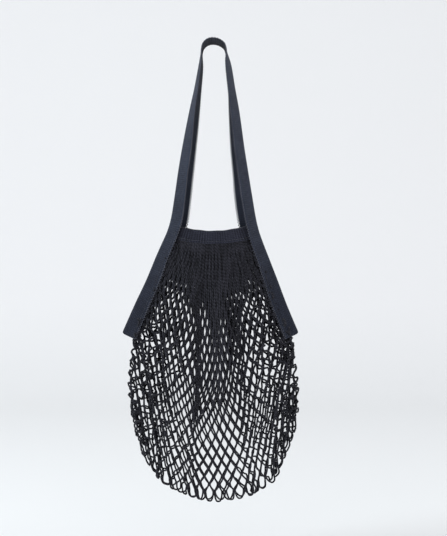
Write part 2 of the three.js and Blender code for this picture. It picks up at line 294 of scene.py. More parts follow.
# How the cords meet and end: side by side at a joint, one on the other where the net is gathered,
# and in a loop at the bottom. Slack cords are thicker than drawn ones, and sewn ones thinner.
CORD_STEPS = 2
TOUCH = 0.44
SQUEEZED_PITCH = (4.0, 7.0)
STACK = 0.4
STACK_UNEVEN = 1.2
STACK_FROM = (0.5, 2.5)
END_LOOP = {"aside": 2.6, "up": 0.9, "bar_aside": 1.6}
CORD_SLACK, CORD_DRAWN, DRAWN_FROM = 1.22, 0.97, (0.35, 0.8)
CORD_SEWN, SEWN_TO = 0.8, (0.0, 0.03)
TWIST_SEED = 11
TWIST_LEAD = 40.0

# Where the hanging net bunches: the bunch's x at the top, halfway and at the bottom, its half
# width, how far it draws the cords together, and the shares of the height it runs between.
BUNCH_RISE = 0.12
BUNCH_FALL = 0.25
BUNCH_COLUMNS = "top mid low width draw start end"
NET_BUNCHES = {
    "front": table(BUNCH_COLUMNS, [
        (-30, -27, -36, 14, 0.8, 0.18, 1.05),
        (40, 48, 66, 14, 0.7, 0.2, 1.3),
        (8, 11, 14, 11, 0.4, 0.2, 0.6),
        (-46, -115, -118, 22, 0.9, 0.08, 0.8),
        (-218, -108, -60, 20, 0.6, 0.5, 0.85),
        (50, 116, 100, 28, 1.0, 0.12, 0.8),
        (4, 8, 4, 60, 0.3, 0.2, 0.75),
    ]),
    "rear": table(BUNCH_COLUMNS, [
        (-36, -29, -36, 14, 0.6, 0.2, 1.05),
        (-8, -6, -4, 12, 0.4, 0.2, 0.65),
        (30, 38, 62, 14, 0.6, 0.2, 1.3),
        (-46, -113, -116, 22, 0.8, 0.08, 0.8),
        (-218, -104, -56, 20, 0.6, 0.5, 0.85),
        (48, 114, 96, 28, 1.0, 0.12, 0.8),
        (4, 8, 4, 60, 0.3, 0.2, 0.75),
    ]),
}


def ramp(value, low, high):
    """Smoothly from 0 at low to 1 at high."""
    f = np.clip((value - low) / (high - low), 0, 1)
    return f * f * (3 - 2 * f)


def fall(value, low, high):
    """Smoothly from 1 at low to 0 at high."""
    return 1 - ramp(value, low, high)


def mix(a, b, f):
    return a + (b - a) * f


def read_column(rows, column, drop):
    """One column of a table, read smoothly at these drops."""
    at = rows["drop"]
    values = rows[column]
    index = np.arange(len(at))
    ahead = np.minimum(index + 1, len(at) - 1)
    behind = np.maximum(index - 1, 0)
    slope = (values[ahead] - values[behind]) / (at[ahead] - at[behind])
    row = np.clip(np.searchsorted(at, drop) - 1, 0, len(at) - 2)
    span = at[row + 1] - at[row]
    f = np.clip((drop - at[row]) / span, 0, 1)
    bend = slope[row] * f * (1 - f) ** 2 - slope[row + 1] * f * f * (1 - f)
    return mix(values[row], values[row + 1], f * f * (3 - 2 * f)) + span * bend


def smooth_line(points, per_span):
    """Smooth curves through points; the last two axes are the points and their x, y, z."""
    p = np.asarray(points, float)
    before = 2 * p[..., :1, :] - p[..., 1:2, :]
    after = 2 * p[..., -1:, :] - p[..., -2:-1, :]
    p = np.concatenate([before, p, after], axis=-2)
    gap = np.sqrt(np.maximum(np.linalg.norm(np.diff(p, axis=-2), axis=-1), TINY))[..., None]
    g0, g1, g2 = gap[..., :-2, :], gap[..., 1:-1, :], gap[..., 2:, :]
    a, b, c, d = p[..., :-3, :], p[..., 1:-2, :], p[..., 2:-1, :], p[..., 3:, :]
    leave = ((b - a) / g0 - (c - a) / (g0 + g1) + (c - b) / g1) * g1
    arrive = ((c - b) / g1 - (d - b) / (g1 + g2) + (d - c) / g2) * g1
    f = np.arange(per_span)[:, None] / per_span
    b, c = b[..., None, :], c[..., None, :]
    leave, arrive = leave[..., None, :], arrive[..., None, :]
    line = mix(b, c, f * f * (3 - 2 * f)) + leave * f * (1 - f) ** 2 - arrive * f * f * (1 - f)
    line = line.reshape(*line.shape[:-3], -1, 3)
    return np.concatenate([line, p[..., -2:-1, :]], axis=-2)


def lengths(line):
    steps = np.linalg.norm(np.diff(line, axis=0), axis=1)
    return np.concatenate([[0], np.cumsum(steps)])


def pick(line, share, values=None):
    """Points of a line at these shares of its length, or values that belong to its points."""
    run = lengths(line)
    at = np.asarray(share) * run[-1]
    values = line if values is None else values
    return np.stack([np.interp(at, run, values[:, k]) for k in range(3)], axis=-1)


def unit(v):
    return v / np.maximum(np.linalg.norm(v, axis=-1, keepdims=True), TINY)


def tape_section(front, rear, across):
    """The folded tape's section: n inward and y to the back at each place across, and its heading."""
    turned = np.clip((across + FOLD_HALF_WIDTH) / (2 * FOLD_HALF_WIDTH), 0, 1)
    heading = np.radians(mix(180 - front[:, None], rear[:, None], turned))
    middle = (heading[:, 1:] + heading[:, :-1]) / 2
    step = np.diff(across)
    start = np.zeros((len(front), 1))
    n = np.concatenate([start, np.cumsum(np.cos(middle) * step, axis=1)], axis=1)
    y = np.concatenate([start, np.cumsum(np.sin(middle) * step, axis=1)], axis=1)
    fold = np.argmin(np.abs(across))
    return n - n[:, [fold]], y - y[:, [fold]], heading


def strap_line():
    """The strap's fold line from the left end over the arch to the right end, evenly stepped."""
    rows = STRAP_SECTIONS
    height = ARCH_RADIUS + TAPE_THICKNESS / 2
    turn = np.radians(ARCH_TURNS)
    reach = np.where(turn > np.pi / 2, rows["left"][0], rows["right"][0])
    zero = np.zeros(len(rows["drop"]))
    up = np.stack([-rows["left"], zero, -rows["drop"]], axis=1)[::-1]
    down = np.stack([rows["right"], zero, -rows["drop"]], axis=1)
    arch = np.stack([reach * np.cos(turn), 0 * turn, height * np.sin(turn) - ARCH_RADIUS], axis=1)
    line = smooth_line(np.vstack([up, arch, down]), LINE_STEPS)
    count = int(lengths(line)[-1] / TAPE_STEP)
    return pick(line, np.linspace(0, 1, count + 1))


def strap_surface(across, lift):
    """Points of the strap at places across its tape, lifted off its middle, for every step."""
    line = strap_line()
    along = unit(np.gradient(line, axis=0))
    inward = np.stack([along[:, 2], 0 * along[:, 0], -along[:, 0]], axis=1)
    drop = np.maximum(STRAP_SECTIONS["drop"][0], -line[:, 2])
    front, rear = (
        np.where(line[:, 0] < 0, read_column(STRAP_SECTIONS, "left" + half, drop),
                 read_column(STRAP_SECTIONS, "right" + half, drop))
        for half in ("_front", "_rear"))
    n, y, heading = tape_section(front, rear, TAPE_GRID)
    place = np.broadcast_to(across, (len(line), np.shape(across)[-1]))
    spot = (place + TAPE_FRONT) / TAPE_WIDTH * (len(TAPE_GRID) - 1)
    low = np.clip(spot.astype(int), 0, len(TAPE_GRID) - 2)
    f = spot - low
    row = np.arange(len(line))[:, None]
    at_n = mix(n[row, low], n[row, low + 1], f)
    at_y = mix(y[row, low], y[row, low + 1], f)
    at_h = mix(heading[row, low], heading[row, low + 1], f)
    at_n = at_n - lift * np.sin(at_h)
    at_y = at_y + lift * np.cos(at_h)
    points = line[:, None, :] + inward[:, None, :] * at_n[..., None]
    points[..., 1] += at_y
    return points


def inside_strap(side, face, drop, reach):
    """A point of the net's edge inside the folded strap."""
    sign = -1 if side == "left" else 1
    drop = np.array([drop])
    x = read_column(STRAP_SECTIONS, side, drop)[0]
    spread = read_column(STRAP_SECTIONS, side, drop + 1) - read_column(STRAP_SECTIONS, side, drop - 1)
    inward = unit(np.array([-sign, 0, -spread[0] / 2]))
    front = read_column(STRAP_SECTIONS, side + "_front", drop)
    rear = read_column(STRAP_SECTIONS, side + "_rear", drop)
    n, y, heading = (a[0] for a in tape_section(front, rear, TAPE_GRID))
    w = -reach if face == "front" else reach
    clear = (TAPE_THICKNESS + NET_WALL) / 2 + SEWING_GAP
    turn = np.interp(w, TAPE_GRID, heading)
    deep = np.interp(w, TAPE_GRID, n) + clear * math.sin(turn)
    back = np.interp(w, TAPE_GRID, y) - clear * math.cos(turn)
    return np.array([sign * x, back, -drop[0]]) + inward * deep


def band_depth(face, x):
    middle, end = BANDS[face]
    return mix(middle, end, (x / BAND_HALF_LENGTH) ** 2)


def band_top(x):
    return -BAND_TOP_DROP + BAND_SAG * (x / BAND_HALF_LENGTH) ** 2


def net_top(face, s):
    x = s * NET_TOP_HALF
    return np.stack([
        x * (1 + BAND_FAN * NET_TOP_DEPTH), band_depth(face, x), band_top(x) - NET_TOP_DEPTH,
    ], axis=-1)


def net_bottom(s):
    left, right, drop = (NET_SIDES[k][-1] for k in ("left", "right", "drop"))
    turn = s * np.pi / 2
    x = (right - left) / 2 + (right + left) / 2 * np.sin(turn)
    return np.stack([x, 0 * s, -drop - (NET_BOTTOM_DROP - drop) * np.cos(turn)], axis=-1)


def net_edge(side, face, t):
    """One side edge of a net face: inside the strap down to the slit's end, then the bag's side."""
    sign = -1 if side == "left" else 1
    other = "rear" if face == "front" else "front"
    rows = SEWN_EDGE
    sewn = [inside_strap(side, face, d, r) for d, r in zip(rows["drop"], rows[face])]
    across = inside_strap(side, other, rows["drop"][-1], rows[other][-1])
    sewn[-1] = (sewn[-1] + across) / 2
    upper = smooth_line(np.vstack([net_top(face, np.float64(sign)), *sewn]), LINE_STEPS)
    sides = np.stack([sign * NET_SIDES[side], 0 * NET_SIDES[side], -NET_SIDES["drop"]], axis=1)
    lower = smooth_line(np.vstack([sewn[-1], sides]), LINE_STEPS)
    above = pick(upper, np.clip(t / SLIT_SHARE, 0, 1))
    below = pick(lower, np.clip((t - SLIT_SHARE) / (1 - SLIT_SHARE), 0, 1))
    return np.where((t <= SLIT_SHARE)[..., None], above, below)


def fold_depth(face, s, t):
    """How far the folds of a face stand out of its form, or in."""
    total = 0
    for top, low, width, depth, start, end in zip(*NET_FOLDS[face].values()):
        off = (s - mix(top, low, t)) / width
        shown = ramp(t, start, start + FOLD_RISE) * fall(t, end - FOLD_FALL, end)
        total = total + depth * shown * np.exp(-off * off)
    return total * (1 - s ** EARLY)


def net_surface(face, s, t):
    """The middle of the net's wall at s across, -1 to 1, and t down, 0 to 1."""
    u = ((s + 1) / 2)[..., None]
    top = net_top(face, s)
    bottom = net_bottom(s)
    one = np.ones_like(s)
    ends = [net_top(face, -one), net_top(face, one), net_bottom(-one), net_bottom(one)]

    def span(share, edge_share):
        share = share[..., None]
        edges = mix(net_edge("left", face, edge_share), net_edge("right", face, edge_share), u)
        corners = mix(mix(ends[0], ends[1], u), mix(ends[2], ends[3], u), share)
        return mix(top, bottom, share) + edges - corners

    place = span(t, t)
    held = t * ramp(t, NET_HELD_SHARE, NET_FACES_FREE)
    edge_held = t * ramp(t, NET_HELD_SHARE, NET_SIDES_FREE)
    place[..., 1] = span(held, edge_held)[..., 1]
    blunted = ramp(t, NET_ROUNDING["from"], NET_ROUNDING["to"])
    rounding = mix(NET_ROUNDING["pointed"], NET_ROUNDING["blunt"], blunted)
    closing = np.sqrt(np.maximum(1 - t ** EARLY, 0))
    full = NET_FULLNESS[face] * ramp(t, 2 * NET_HELD_SHARE, NET_FULL_SHARE) * closing
    swell = full * np.maximum(0, 1 - s * s) ** rounding + fold_depth(face, s, t)
    place[..., 1] += -swell if face == "front" else swell
    return place


# Making meshes from arrays. A flat map leaves a gap beside each strip, and the tubes' closed ends
# lie in a row above the strips. A cord's first side way slants, so that no cord runs along it.
MAP_GAP = 0.04
MAP_SIDES_TOP = 0.96
MAP_ENDS = (0.975, 0.995)
MAP_END_GAP = 0.1
FIRST_SIDE_WAY = (0.31, 0.87, 0.38)


def ring_faces(spans, ring, tubes=1):
    """Four-cornered faces of closed tubes of spans by ring corners, with their ends closed."""
    i, r = np.meshgrid(np.arange(spans), np.arange(ring), indexing="ij")
    nxt = (r + 1) % ring
    side = np.stack([i * ring + r, i * ring + nxt, (i + 1) * ring + nxt, (i + 1) * ring + r], axis=-1)
    k = np.arange(ring // 2 - 1)
    near = np.stack([k, ring - 1 - k, ring - 2 - k, k + 1], axis=-1)
    far = near[:, ::-1] + spans * ring
    one = np.concatenate([side.reshape(-1, 4), near, far])
    shift = np.arange(tubes)[:, None, None] * (spans + 1) * ring
    return (one[None] + shift).reshape(-1, 4)


def map_patches(left, right, low, high):
    """Four-cornered patches of a flat map between these sides."""
    corners = ((left, low), (right, low), (right, high), (left, high))
    return np.stack([np.stack(corner, -1) for corner in corners], axis=-2).reshape(-1, 4, 2)


def ring_map(spans, ring, tubes=1, strips=1):
    """A flat map of the same faces: each tube in strips side by side, its ends above them."""
    per = math.ceil(spans / strips)
    i, r = np.meshgrid(np.arange(spans), np.arange(ring), indexing="ij")
    strip, up = i // per, i % per
    wide = 1 - 2 * MAP_GAP
    left = strip + MAP_GAP + wide * r / ring
    right = strip + MAP_GAP + wide * (r + 1) / ring
    side = map_patches(left, right, MAP_SIDES_TOP * up / per, MAP_SIDES_TOP * (up + 1) / per)
    caps = 2 * (ring // 2 - 1)
    k = np.arange(caps)
    start, stop = (k + MAP_END_GAP) / caps, (k + 1 - MAP_END_GAP) / caps
    floor, roof = (np.full(caps, height) for height in MAP_ENDS)
    one = np.concatenate([side, map_patches(start, stop, floor, roof)])
    shift = np.zeros((tubes, 1, 1, 2))
    shift[:, 0, 0, 0] = np.arange(tubes) * strips
    both = one[None] + shift
    both[..., 0] /= tubes * strips
    return both.reshape(-1, 4, 2)


def make_piece(name, points, faces, flat_map, place_name, places, finish):
    """One mesh piece from arrays, with its flat map and a named place on every corner."""
    mesh = bpy.data.meshes.new(name)
    mesh.vertices.add(len(points))
    mesh.vertices.foreach_set("co", (points * MM).astype(np.float32).ravel())
    mesh.loops.add(faces.size)
    mesh.loops.foreach_set("vertex_index", faces.astype(np.int32).ravel())
    mesh.polygons.add(len(faces))
    mesh.polygons.foreach_set("loop_start", np.arange(0, faces.size, faces.shape[1], dtype=np.int32))
    mesh.polygons.foreach_set("use_smooth", np.ones(len(faces), bool))
    mesh.update(calc_edges=True)
    layer = mesh.uv_layers.new(name="OFBake")
    layer.uv.foreach_set("vector", flat_map.astype(np.float32).ravel())
    spots = mesh.attributes.new(place_name, "FLOAT_VECTOR", "POINT")
    spots.data.foreach_set("vector", places.astype(np.float32).ravel())
    mesh.materials.append(finish)
    piece = bpy.data.objects.new(name, mesh)
    bpy.context.scene.collection.objects.link(piece)
    return piece


def cord_rings(lines, radius, sides, lead=0.0):
    """Round tubes along lines (tubes, points, 3): their points, and length and turn at each.

    lead is the length that each tube's twist has already run where it starts.
    """
    along = unit(np.gradient(lines, axis=1))
    side = unit(np.cross(along[:, 0], np.broadcast_to(FIRST_SIDE_WAY, along[:, 0].shape)))
    frames = [side]
    for k in range(1, lines.shape[1]):
        side = side - along[:, k] * np.sum(side * along[:, k], axis=-1, keepdims=True)
        side = unit(side)
        frames.append(side)
    first = np.stack(frames, axis=1)
    second = np.cross(along, first)
    turn = np.arange(sides) / sides * 2 * np.pi
    around = first[:, :, None] * np.cos(turn)[:, None] + second[:, :, None] * np.sin(turn)[:, None]
    points = lines[:, :, None] + around * radius[:, :, None, None]
    steps = np.linalg.norm(np.diff(lines, axis=1), axis=-1)
    run = np.concatenate([np.zeros((len(lines), 1)), np.cumsum(steps, axis=1)], axis=1)
    run = run + np.reshape(lead, (-1, 1))
    shape = points.shape[:3]
    places = np.stack([
        np.broadcast_to(run[:, :, None], shape),
        np.broadcast_to(np.cos(2 * turn), shape),
        np.broadcast_to(np.sin(2 * turn), shape),
    ], axis=-1)
    return points.reshape(-1, 3), places.reshape(-1, 3)


def cord_piece(name, lines, radius, sides, finish, strips=1, lead=0.0):
    """Round cords along lines (tubes, points, 3), joined in one piece."""
    tubes, count = lines.shape[:2]
    points, places = cord_rings(lines, radius * np.ones((tubes, count)), sides, lead)
    return make_piece(
        name, points, ring_faces(count - 1, sides, tubes), ring_map(count - 1, sides, tubes, strips),
        "cord_place", places, finish)


def tape_piece(name, points, across, along, painted_light, finish, strips=1):
    """A tape from its rings of points, with each point's place across and along it and its painted light
    and shade.
    """
    spans, ring = len(points) - 1, points.shape[1]
    places = [np.broadcast_to(value, points.shape[:2]) for value in (across, along[:, None], painted_light)]
    return make_piece(
        name, points.reshape(-1, 3), ring_faces(spans, ring), ring_map(spans, ring, 1, strips),
        "tape_place", np.stack(places, axis=-1).reshape(-1, 3), finish)


# Finishes: how much each tone adds to a finish's light colour and to its relief, what is taken off
# the light colour, and the roughness without and with loose fibre. Relief depths are in metres.
FULL_TURN = 2 * math.pi
# In the tape's light colour, stitch and ridge paint shade into the knit's hollows, rib paints the puckers'
# light and shade, edge paints a highlight along the edges and shade inside the strap's fold, and the end
# tone paints shade towards the ends; patch, tuft and fibre are the cloth's own uneven tone.
TAPE_LIGHT = {
    "patch": 0.7, "tuft": 0.6, "fibre": 0.3, "stitch": 0.12, "ridge": 0.12, "edge": 0.35, "painted_end_shade": -0.3,
}
TAPE_DARK = 0.45
TAPE_RELIEF = {"ridge": 0.25, "stitch": 0.35, "fibre": 0.5}
TAPE_RELIEF_DEPTH = 0.0004
TAPE_ROUGHNESS = {"least": 0.86, "fibre": 0.12}
V_SLANT = 0.9
# Painted shade towards a tape's ends starts this share of its half length out from the middle and grows at
# this rate.
END_SHADE_FROM = 0.45
END_SHADE_RISE = 3.0
# In the cord's light colour, ply paints shade into the twist's grooves and a highlight on the plies, and
# the streak tone paints lighter and darker cords; fibre and patch are the yarn's own uneven tone.
CORD_LIGHT = {"ply": 0.28, "fibre": 0.4, "patch": 0.4, "painted_light_streaks": 1.1}
CORD_DARK = 0.62
CORD_RELIEF = {"ply": 0.5, "fibre": 0.4}
CORD_RELIEF_DEPTH = 0.0005
CORD_ROUGHNESS = {"least": 0.84, "fibre": 0.14}


class Tone:
    """A number that varies over a surface; an expression on tones adds the nodes that work it out."""

    def __init__(self, finish, socket):
        self.finish = finish
        self.socket = socket

    def _with(self, operation, first, second):
        node = self.finish.add("ShaderNodeMath", {"operation": operation}, {0: first, 1: second})
        return Tone(self.finish, node.outputs[0])

    def __add__(self, other):
        return self._with("ADD", self, other)

    __radd__ = __add__

    def __sub__(self, other):
        return self._with("SUBTRACT", self, other)

    def __rsub__(self, other):
        return self._with("SUBTRACT", other, self)

    def __mul__(self, other):
        return self._with("MULTIPLY", self, other)

    __rmul__ = __mul__

    def __truediv__(self, other):
        return self._with("DIVIDE", self, other)

    def __abs__(self):
        return self._with("ABSOLUTE", self, 0)

    def sine(self):
        return self._with("SINE", self, 0)

    def cosine(self):
        return self._with("COSINE", self, 0)

    def fraction(self):
        return self._with("FRACT", self, 0)

    def held(self):
        node = self.finish.add("ShaderNodeClamp", {}, {"Value": self})
        return Tone(self.finish, node.outputs[0])


class Finish:
    """A material of this bag: its shader and the nodes that vary its colour, gloss and relief."""

    def __init__(self, name, **fixed):
        self.material = bpy.data.materials.new(name)
        self.material.use_nodes = True
        self.tree = self.material.node_tree
        self.tree.nodes.clear()
        self.shader = self.add("ShaderNodeBsdfPrincipled", {}, fixed)
        output = self.add("ShaderNodeOutputMaterial", {}, {})
        self.tree.links.new(self.shader.outputs[0], output.inputs["Surface"])

    def add(self, kind, settings, sockets):
        node = self.tree.nodes.new(kind)
        for key, value in settings.items():
            setattr(node, key, value)
        for key, value in sockets.items():
            socket = node.inputs[key.replace("_", " ") if isinstance(key, str) else key]
            if isinstance(value, Tone):
                value = value.socket
            if isinstance(value, bpy.types.NodeSocket):
                self.tree.links.new(value, socket)
            else:
                socket.default_value = value
        return node

    def place(self, name):
        """The three numbers of a named place on the mesh."""
        spot = self.add("ShaderNodeAttribute", {"attribute_name": name}, {})
        parts = self.add("ShaderNodeSeparateXYZ", {}, {"Vector": spot.outputs["Vector"]})
        return [Tone(self, out) for out in parts.outputs]

    def mottle(self, scale, detail, roughness, drawn_out=1.0):
        """Uneven patches, as wide as the scale says and drawn out up and down."""
        where = self.add("ShaderNodeTexCoord", {}, {}).outputs["Object"]
        shrink = {0: where, 1: (1, 1, 1 / drawn_out)}
        spot = self.add("ShaderNodeVectorMath", {"operation": "MULTIPLY"}, shrink).outputs[0]
        sockets = {"Vector": spot, "Scale": scale, "Detail": detail, "Roughness": roughness}
        node = self.add("ShaderNodeTexNoise", {}, sockets)
        return Tone(self, node.outputs[0])

    def blend(self, first, second, share):
        settings = {"data_type": "RGBA", "clamp_factor": True}
        node = self.add("ShaderNodeMix", settings, {0: share, 6: first, 7: second})
        return node.outputs[2]

    def wear(self, colour, roughness, relief, depth):
        """Joins the worked-out colour, roughness and relief to the shader."""
        self.tree.links.new(colour, self.shader.inputs["Base Color"])
        self.tree.links.new(roughness.socket, self.shader.inputs["Roughness"])
        bump = self.add("ShaderNodeBump", {}, {"Height": relief, "Distance": depth, "Strength": 1.0})
        self.tree.links.new(bump.outputs[0], self.shader.inputs["Normal"])
        return self.material


def weighed(tones, weights):
    """The named tones added up, each times its weight."""
    return sum(tones[name] * weight for name, weight in weights.items())


def knitted_tape(name, shade, light, length, rib_relief_and_shade):
    """Knitted cotton tape: columns of small V stitches along it, mottled, with painted shade in the knit's
    hollows and towards its ends, a painted highlight along its edges and painted light and shade on its
    puckers.
    """
    finish = Finish(name, Sheen_Weight=0.12, Sheen_Roughness=0.45, Specular_IOR_Level=0.2)
    across, along, edge = finish.place("tape_place")
    column = (across / WALE_PITCH).fraction() - 0.5
    tones = {
        # stitch and ridge also paint shade into the hollows between the knit's courses and columns.
        "stitch": ((along / COURSE_PITCH + abs(column) * V_SLANT) * FULL_TURN).sine(),
        "ridge": (column * FULL_TURN).cosine(),
        # rib paints the puckers' light and shade into the colour as well as giving their relief.
        "rib": (along * (FULL_TURN / RIB_PITCH)).sine(),
        # edge: a painted highlight along the tape's edges and, on the strap, painted shade inside the
        # fold.
        "edge": edge,
        # Painted shade towards both ends of the tape's length.
        "painted_end_shade": ((abs(along / length - 0.5) * 2 - END_SHADE_FROM) * END_SHADE_RISE).held(),
        "fibre": finish.mottle(scale=1400, detail=3, roughness=0.6),
        "tuft": finish.mottle(scale=330, detail=2, roughness=0.6),
        "patch": finish.mottle(scale=45, detail=4, roughness=0.65),
    }
    relief = weighed(tones, TAPE_RELIEF | {"rib": rib_relief_and_shade})
    share = (weighed(tones, TAPE_LIGHT | {"rib": rib_relief_and_shade}) - TAPE_DARK).held()
    roughness = tones["fibre"] * TAPE_ROUGHNESS["fibre"] + TAPE_ROUGHNESS["least"]
    return finish.wear(finish.blend(shade, light, share), roughness, relief, TAPE_RELIEF_DEPTH)


def cotton_cord(name, shade, light, lay):
    """Twisted cotton cord: plies that wind round it, with painted shade in the grooves, painted lighter
    and darker streaks, and loose fibre.
    """
    finish = Finish(name, Sheen_Weight=0.1, Sheen_Roughness=0.45, Specular_IOR_Level=0.2)
    along, cosine, sine = finish.place("cord_place")
    wind = along * (FULL_TURN / lay)
    tones = {
        # ply also paints shade into the grooves and a highlight on the plies.
        "ply": wind.sine() * cosine + wind.cosine() * sine,
        "fibre": finish.mottle(scale=1600, detail=3, roughness=0.6),
        "patch": finish.mottle(scale=30, detail=3, roughness=0.6),
        # Painted light and shade: lighter and darker streaks down the cords, standing in for cords lit and
        # shaded at different depths.
        "painted_light_streaks": finish.mottle(scale=330, detail=1, roughness=0.5, drawn_out=16),
    }
    share = (weighed(tones, CORD_LIGHT) - CORD_DARK).held()
    relief = weighed(tones, CORD_RELIEF)
    roughness = tones["fibre"] * CORD_ROUGHNESS["fibre"] + CORD_ROUGHNESS["least"]
    return finish.wear(finish.blend(shade, light, share), roughness, relief, CORD_RELIEF_DEPTH)


STRAP_TAPE = knitted_tape(
    "strap_tape", shade=(0.0115, 0.0135, 0.0225, 1), light=(0.052, 0.061, 0.092, 1), length=960, rib_relief_and_shade=0.0)
# The band's puckers get relief and painted light and shade from the rib weight.
BAND_TAPE = knitted_tape(
    "band_tape", shade=(0.008, 0.008, 0.014, 1), light=(0.038, 0.040, 0.061, 1), length=200, rib_relief_and_shade=0.2)
NET_CORD = cotton_cord(
    "net_cord", shade=(0.004, 0.004, 0.006, 1), light=(0.036, 0.035, 0.047, 1), lay=5.0)
TAPE_THREAD = cotton_cord(
    "tape_thread", shade=(0.034, 0.036, 0.052, 1), light=(0.120, 0.125, 0.155, 1), lay=1.6)


# The shoulder strap.

def edge_gap(across):
    """How far places across the strap's tape are from its nearest edge."""
    return np.minimum(across + TAPE_FRONT, TAPE_REAR - across)


def knit_half(across, gap, knit):
    """Half a tape's thickness: a row of rounded knit columns that thins at the edges."""
    column = np.abs(np.cos(np.pi * across / WALE_PITCH)) ** COLUMN_ROUND
    return mix(EDGE_HALF, knit["between"] + knit["rise"] * column, ramp(gap, -EDGE_INSET, knit["thin"]))


def round_ends(points, across):
    """Draws the tape back beside its fold at both ends, so that the folded corners are round."""
    row = np.arange(len(points))[:, None]
    from_end = np.minimum(row, len(points) - 1 - row) * TAPE_STEP
    inside = np.maximum(END_ROUND - np.abs(across), 0)
    cut = END_ROUND - np.sqrt(END_ROUND ** 2 - inside ** 2)
    shift = cut * np.clip(1 - from_end / END_REACH, 0, 1) / TAPE_STEP
    place = np.where(row < len(points) // 2, row + shift, row - shift)
    low = np.clip(place.astype(int), 0, len(points) - 2)
    column = np.arange(points.shape[1])
    return mix(points[low, column], points[low + 1, column], (place - low)[..., None])


def strap_tape():
    """The strap's knitted tape, folded lengthwise along the bag's sides and flat over the top."""
    columns = int(TAPE_WIDTH / WALE_PITCH) * STRAP_KNIT["points"]
    across = np.linspace(-TAPE_FRONT + EDGE_INSET, TAPE_REAR - EDGE_INSET, columns + 1)
    step = np.arange(len(strap_line()))
    course = STRAP_KNIT["course"] * (step % 2 - 0.5)
    half = knit_half(across, edge_gap(across), STRAP_KNIT)[None, :] + course[:, None]
    outside = round_ends(strap_surface(across, half), across)
    inside = round_ends(strap_surface(across, -half), across)[:, ::-1]
    points = np.concatenate([outside, inside], axis=1)
    both = np.concatenate([across, across[::-1]])
    # Painted highlight along both edges of the tape.
    painted_light = fall(edge_gap(both), 0.0, STRAP_KNIT["painted_light"])
    # Painted shade on the inside face of the fold.
    painted_light = painted_light - INSIDE_PAINTED_SHADE * (np.arange(len(both)) > columns)
    return tape_piece("strap_tape", points, both, step * TAPE_STEP, painted_light, STRAP_TAPE, strips=STRAP_STRIPS)


def looped_edge(edge_line, outward, lift):
    """The line of a thread that loops along an edge."""
    count = int(lengths(edge_line)[-1] / LOOP["pitch"]) * LOOP_STEPS
    share = np.linspace(0, 1, count + 1)
    phase = np.arange(count + 1) / LOOP_STEPS * 2 * np.pi
    out = LOOP["reach"] * (0.5 - 0.5 * np.cos(phase))
    up = LOOP["rise"] * np.sin(phase)
    place = pick(edge_line, share) + unit(pick(edge_line, share, outward)) * out[:, None]
    return place + unit(pick(edge_line, share, lift)) * up[:, None]


def strap_selvedge():
    """The looped thread along both edges of the tape."""
    lines = []
    front_edge = -TAPE_FRONT + LOOP["inset"]
    rear_edge = TAPE_REAR - LOOP["inset"]
    for edge, inward in ((front_edge, STEP_ASIDE), (rear_edge, -STEP_ASIDE)):
        near = strap_surface(np.array([edge, edge + inward]), 0.0)
        outward = unit(near[:, 0] - near[:, 1])
        above = strap_surface(np.array([edge]), STEP_OUT)[:, 0]
        lines.append(looped_edge(near[:, 0], outward, unit(above - near[:, 0])))
    count = min(len(line) for line in lines)
    lines = np.stack([line[:count] for line in lines])
    return cord_piece(
        "strap_selvedge", lines, LOOP["radius"], THREAD_SIDES, TAPE_THREAD, strips=LOOP_STRIPS)


def stitches(rows, name):
    """Sewn rows: each row is points along the cloth and the way out of it; one thread per stitch."""
    lines = []
    for line, out in rows:
        count = int(lengths(line)[-1] / STITCH_PITCH)
        for k in range(count):
            share = (k + STITCH["share"]) / count
            rise = unit(pick(line, share, out)) * STITCH["rise"][:, None]
            lines.append(pick(line, share) + rise)
    return cord_piece(name, np.stack(lines), STITCH_RADIUS, THREAD_SIDES, TAPE_THREAD)


def strap_stitching():
    """The seams that hold the net's edges inside the folded strap."""
    line = strap_line()
    rows = []
    sewn = -line[:, 2] > BAND_TOP_DROP - STRAP_SEAM["above_band"]
    for place in (-TAPE_FRONT + STRAP_SEAM["inset"], TAPE_REAR - STRAP_SEAM["inset"]):
        for sign in (-1, 1):
            part = sewn & (np.sign(line[:, 0]) == sign)
            base = strap_surface(np.array([place]), STRAP_SEAM["lift"])[part, 0]
            above = strap_surface(np.array([place]), STRAP_SEAM["lift"] + STEP_OUT)[part, 0]
            rows.append((base, unit(above - base)))
    return stitches(rows, "strap_stitching")


# The mouth bands.

def band_places(face, x, out, below):
    """Points of a band at places along it, out of its middle and below its top."""
    lean = band_depth(face, x + 0.5) - band_depth(face, x - 0.5)
    across = unit(np.stack([-lean, np.ones_like(x), 0 * x], axis=-1))
    wave = x * 2 * np.pi / RIB_PITCH
    for amount, length, start in zip(*PUCKER_WANDER.values()):
        wave = wave + amount * np.sin(x / length + start)
    uneven = PUCKER["even"] + PUCKER["uneven"] * np.sin(x / PUCKER["length"] + PUCKER["start"])
    pucker = PUCKER["depth"] * np.sin(wave) * uneven * ramp(below, 1, BAND_HEIGHT)
    place = np.stack([
        x * (1 + BAND_FAN * below),
        band_depth(face, x) + pucker,
        band_top(x) - below + TOP_WAVE["height"] * np.sin(x / TOP_WAVE["length"]),
    ], axis=-1)
    return place + across * out[..., None]


